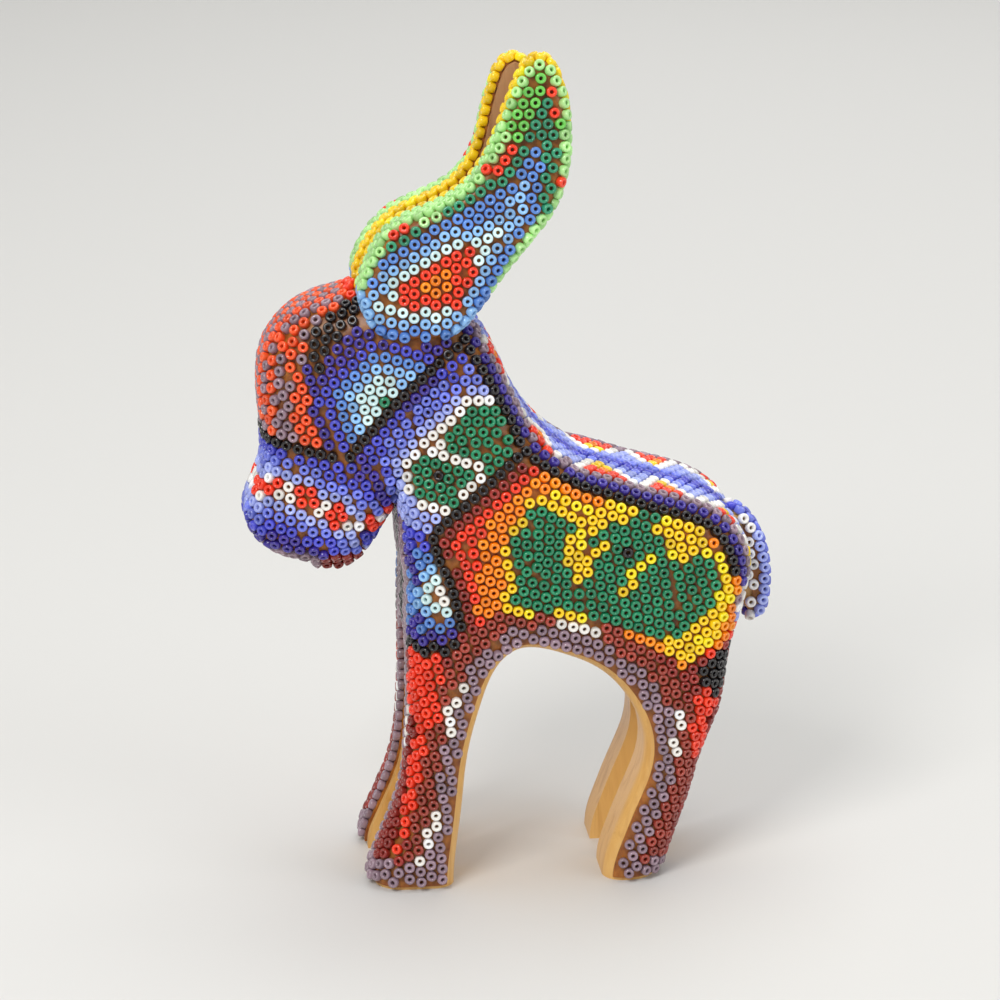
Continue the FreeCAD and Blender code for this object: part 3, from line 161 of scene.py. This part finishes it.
BEAD_RADIUS = 0.00105
HOLE_RADIUS = 0.00034
BEAD_HEIGHT = 0.00150
TURNS = 20
RINGS = 12
SQUARENESS = 0.72
AXIS_WOBBLE = 0.045
WIDTH_SPREAD = 0.018
WIDTH_LIMIT = 1.03
HEIGHT_SPREAD = 0.05
HEIGHT_LIMITS = (0.86, 1.12)
SIDE_HINT = (0.31, 0.17, 0.94)

rng = np.random.default_rng(11)


def bead_places(node):
    """Centre and axis of every CAD bead of a node, from its separate shells."""
    mesh = node.data
    mesh.calc_loop_triangles()
    points = np.empty(len(mesh.vertices) * 3)
    mesh.vertices.foreach_get("co", points)
    points = points.reshape(-1, 3)
    triangles = np.empty(len(mesh.loop_triangles) * 3, dtype=np.int32)
    mesh.loop_triangles.foreach_get("vertices", triangles)
    points, merged = np.unique(np.round(points, 7), axis=0, return_inverse=True)
    triangles = merged.reshape(-1)[triangles].reshape(-1, 3)
    labels = np.arange(len(points))
    while True:
        lowest = labels[triangles].min(axis=1)
        fresh = labels.copy()
        np.minimum.at(fresh, triangles.reshape(-1), np.repeat(lowest, 3))
        if (fresh == labels).all():
            break
        labels = fresh
    places = []
    for label in np.unique(labels):
        shell = points[labels == label]
        centre = (shell.min(axis=0) + shell.max(axis=0)) / 2.0
        spread = np.cov((shell - centre).T)
        sizes, directions = np.linalg.eigh(spread)
        odd = 0 if sizes[1] - sizes[0] > sizes[2] - sizes[1] else 2
        places.append((centre, directions[:, odd]))
    return places


def bead_section():
    """Half section of a bead: a rounded box beside the hole, as radius and height."""
    middle = (BEAD_RADIUS + HOLE_RADIUS) / 2.0
    half = (BEAD_RADIUS - HOLE_RADIUS) / 2.0
    section = []
    for k in range(RINGS):
        angle = 2.0 * math.pi * k / RINGS
        c = math.cos(angle)
        s = math.sin(angle)
        section.append((middle + half * math.copysign(abs(c) ** SQUARENESS, c),
                        BEAD_HEIGHT / 2.0 * math.copysign(abs(s) ** SQUARENESS, s)))
    return np.array(section)


def bead_shape():
    """Points and quads of one bead around the Z axis."""
    section = bead_section()
    turn = np.arange(TURNS) * 2.0 * math.pi / TURNS
    points = np.stack([np.outer(np.cos(turn), section[:, 0]),
                       np.outer(np.sin(turn), section[:, 0]),
                       np.outer(np.ones(TURNS), section[:, 1])], axis=-1).reshape(-1, 3)
    quads = []
    for i in range(TURNS):
        for k in range(RINGS):
            a = i * RINGS + k
            b = ((i + 1) % TURNS) * RINGS + k
            c = ((i + 1) % TURNS) * RINGS + (k + 1) % RINGS
            d = i * RINGS + (k + 1) % RINGS
            quads.append((a, b, c, d))
    return points, np.array(quads)


BEAD_POINTS, BEAD_QUADS = bead_shape()


def glass_beads(node, materials):
    """One finished object in place of a CAD bead node: every bead a little different."""
    points = []
    quads = []
    shades = []
    for number, (centre, axis) in enumerate(bead_places(node)):
        axis = axis + rng.normal(0.0, AXIS_WOBBLE, 3)
        axis = axis / np.linalg.norm(axis)
        side = np.cross(axis, SIDE_HINT)
        side = side / np.linalg.norm(side)
        frame_axes = np.array([side, np.cross(axis, side), axis])
        width = min(1.0 + rng.normal(0.0, WIDTH_SPREAD), WIDTH_LIMIT)
        height = np.clip(1.0 + rng.normal(0.0, HEIGHT_SPREAD), *HEIGHT_LIMITS)
        size = np.array([width, width, height])
        points.append((BEAD_POINTS * size) @ frame_axes + centre)
        quads.append(BEAD_QUADS + number * len(BEAD_POINTS))
        shades.append(np.full(len(BEAD_QUADS), rng.choice(len(materials), p=SHADE_ODDS)))
    mesh = bpy.data.meshes.new(node.name + "_glass")
    mesh.from_pydata(np.concatenate(points).tolist(), [], np.concatenate(quads).tolist())
    for material in materials:
        mesh.materials.append(material)
    mesh.polygons.foreach_set("material_index", np.concatenate(shades).astype(np.int32))
    mesh.polygons.foreach_set("use_smooth", np.ones(len(mesh.polygons), dtype=bool))
    mesh.update()
    piece = bpy.data.objects.new(node.name + "_glass", mesh)
    bpy.context.scene.collection.objects.link(piece)
    return piece


glass = {}
for name, node in sorted(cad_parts.items()):
    if name.startswith("beads_"):
        colour = node_colour(name)
        if colour not in glass:
            glass[colour] = [bead_glass(colour, shade) for shade in GLASS_SHADES]
        piece = glass_beads(node, glass[colour])
        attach(piece, "root")
        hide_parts(name)


# ---------------------------------------------------------------- wood and wax

wood = carved_wood("carved_wood", (0.78, 0.47, 0.15), (0.60, 0.30, 0.07))
ear_wood = carved_wood("ear_wood", (0.50, 0.27, 0.13), (0.36, 0.17, 0.075))
dowel_wood = carved_wood("dowel_wood", (0.66, 0.45, 0.22), (0.50, 0.30, 0.12))
# The wax material carries painted shade: its amber is darkened for the seams between the beads.
wax = amber_wax_with_painted_shade("amber_wax_with_painted_shade")
FINISH = {
    "body_wood": wood, "tail": wood, "ear_left": ear_wood, "ear_right": ear_wood,
    "ear_dowel_left": dowel_wood, "ear_dowel_right": dowel_wood, "tail_peg": dowel_wood,
    "wax_body": wax, "wax_ear_left": wax, "wax_ear_right": wax, "wax_tail": wax,
}
for name, material in FINISH.items():
    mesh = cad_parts[name].data
    mesh.materials.clear()
    mesh.materials.append(material)


# ---------------------------------------------------------------- stage, light, camera

CAMERA_TARGET = Vector((0.0, 0.0, 0.083))
FLOOR_FRONT = -1.6
FLOOR_SIDE = 2.6
BEND_START = 1.0
BEND_RADIUS = 0.6
BEND_STEPS = 12
BACKDROP_TOP = 2.4


def stage_floor():
    """A pale table that curves up into a backdrop."""
    profile = [(FLOOR_FRONT, 0.0)]
    for k in range(BEND_STEPS + 1):
        angle = math.pi / 2.0 * k / BEND_STEPS
        profile.append((BEND_START + BEND_RADIUS * math.sin(angle),
                        BEND_RADIUS - BEND_RADIUS * math.cos(angle)))
    profile.append((BEND_START + BEND_RADIUS, BACKDROP_TOP))
    points = []
    faces = []
    for y, z in profile:
        points.append((-FLOOR_SIDE, y, z))
        points.append((FLOOR_SIDE, y, z))
    for k in range(len(profile) - 1):
        faces.append((2 * k, 2 * k + 1, 2 * k + 3, 2 * k + 2))
    mesh = bpy.data.meshes.new("floor")
    mesh.from_pydata(points, [], faces)
    mesh.polygons.foreach_set("use_smooth", [True] * len(mesh.polygons))
    floor = bpy.data.objects.new("floor", mesh)
    bpy.context.scene.collection.objects.link(floor)
    mat = bpy.data.materials.new("pale_floor")
    mat.use_nodes = True
    shader = mat.node_tree.nodes["Principled BSDF"]
    shader.inputs["Base Color"].default_value = (0.68, 0.675, 0.655, 1.0)
    shader.inputs["Roughness"].default_value = 0.7
    mesh.materials.append(mat)
    return floor


stage_floor()


def softbox(name, place, power, width, height, colour):
    """A soft rectangular lamp that faces the figure."""
    light = bpy.data.lights.new(name, "AREA")
    light.shape = "RECTANGLE"
    light.size = width
    light.size_y = height
    light.energy = power
    light.color = colour
    lamp = bpy.data.objects.new(name, light)
    lamp.location = place
    lamp.rotation_euler = (CAMERA_TARGET - Vector(place)).to_track_quat("-Z", "Y").to_euler()
    bpy.context.scene.collection.objects.link(lamp)


softbox("key", (-0.55, -0.75, 0.95), 9.0, 0.45, 0.45, (1.0, 0.985, 0.96))
softbox("fill", (0.85, -0.60, 0.45), 3.0, 0.70, 0.70, (0.96, 0.98, 1.0))
softbox("top", (0.10, 0.25, 1.15), 6.5, 0.90, 0.90, (1.0, 1.0, 1.0))
softbox("back", (0.3, 0.95, 0.55), 1.5, 0.80, 0.60, (1.0, 1.0, 1.0))

world = bpy.data.worlds.new("studio")
bpy.context.scene.world = world
world.use_nodes = True
world.node_tree.nodes["Background"].inputs["Color"].default_value = (1.0, 1.0, 1.0, 1.0)
world.node_tree.nodes["Background"].inputs["Strength"].default_value = 0.40

TURN = math.radians(-6.5)
TILT = math.radians(17.0)
DISTANCE = 0.8
sight = Vector((-math.sin(TURN) * math.cos(TILT), math.cos(TURN) * math.cos(TILT),
                -math.sin(TILT)))
camera = bpy.data.cameras.new("camera")
camera.sensor_width = 36.0
camera.lens = 148.3
camera.shift_x = -0.008
camera.shift_y = -0.045
camera.clip_start = 0.01
viewer = bpy.data.objects.new("camera", camera)
viewer.location = CAMERA_TARGET - sight * DISTANCE
viewer.rotation_euler = sight.to_track_quat("-Z", "Y").to_euler()
bpy.context.scene.collection.objects.link(viewer)
bpy.context.scene.camera = viewer

bpy.context.scene.view_settings.view_transform = "Standard"
bpy.context.scene.view_settings.exposure = 0.0
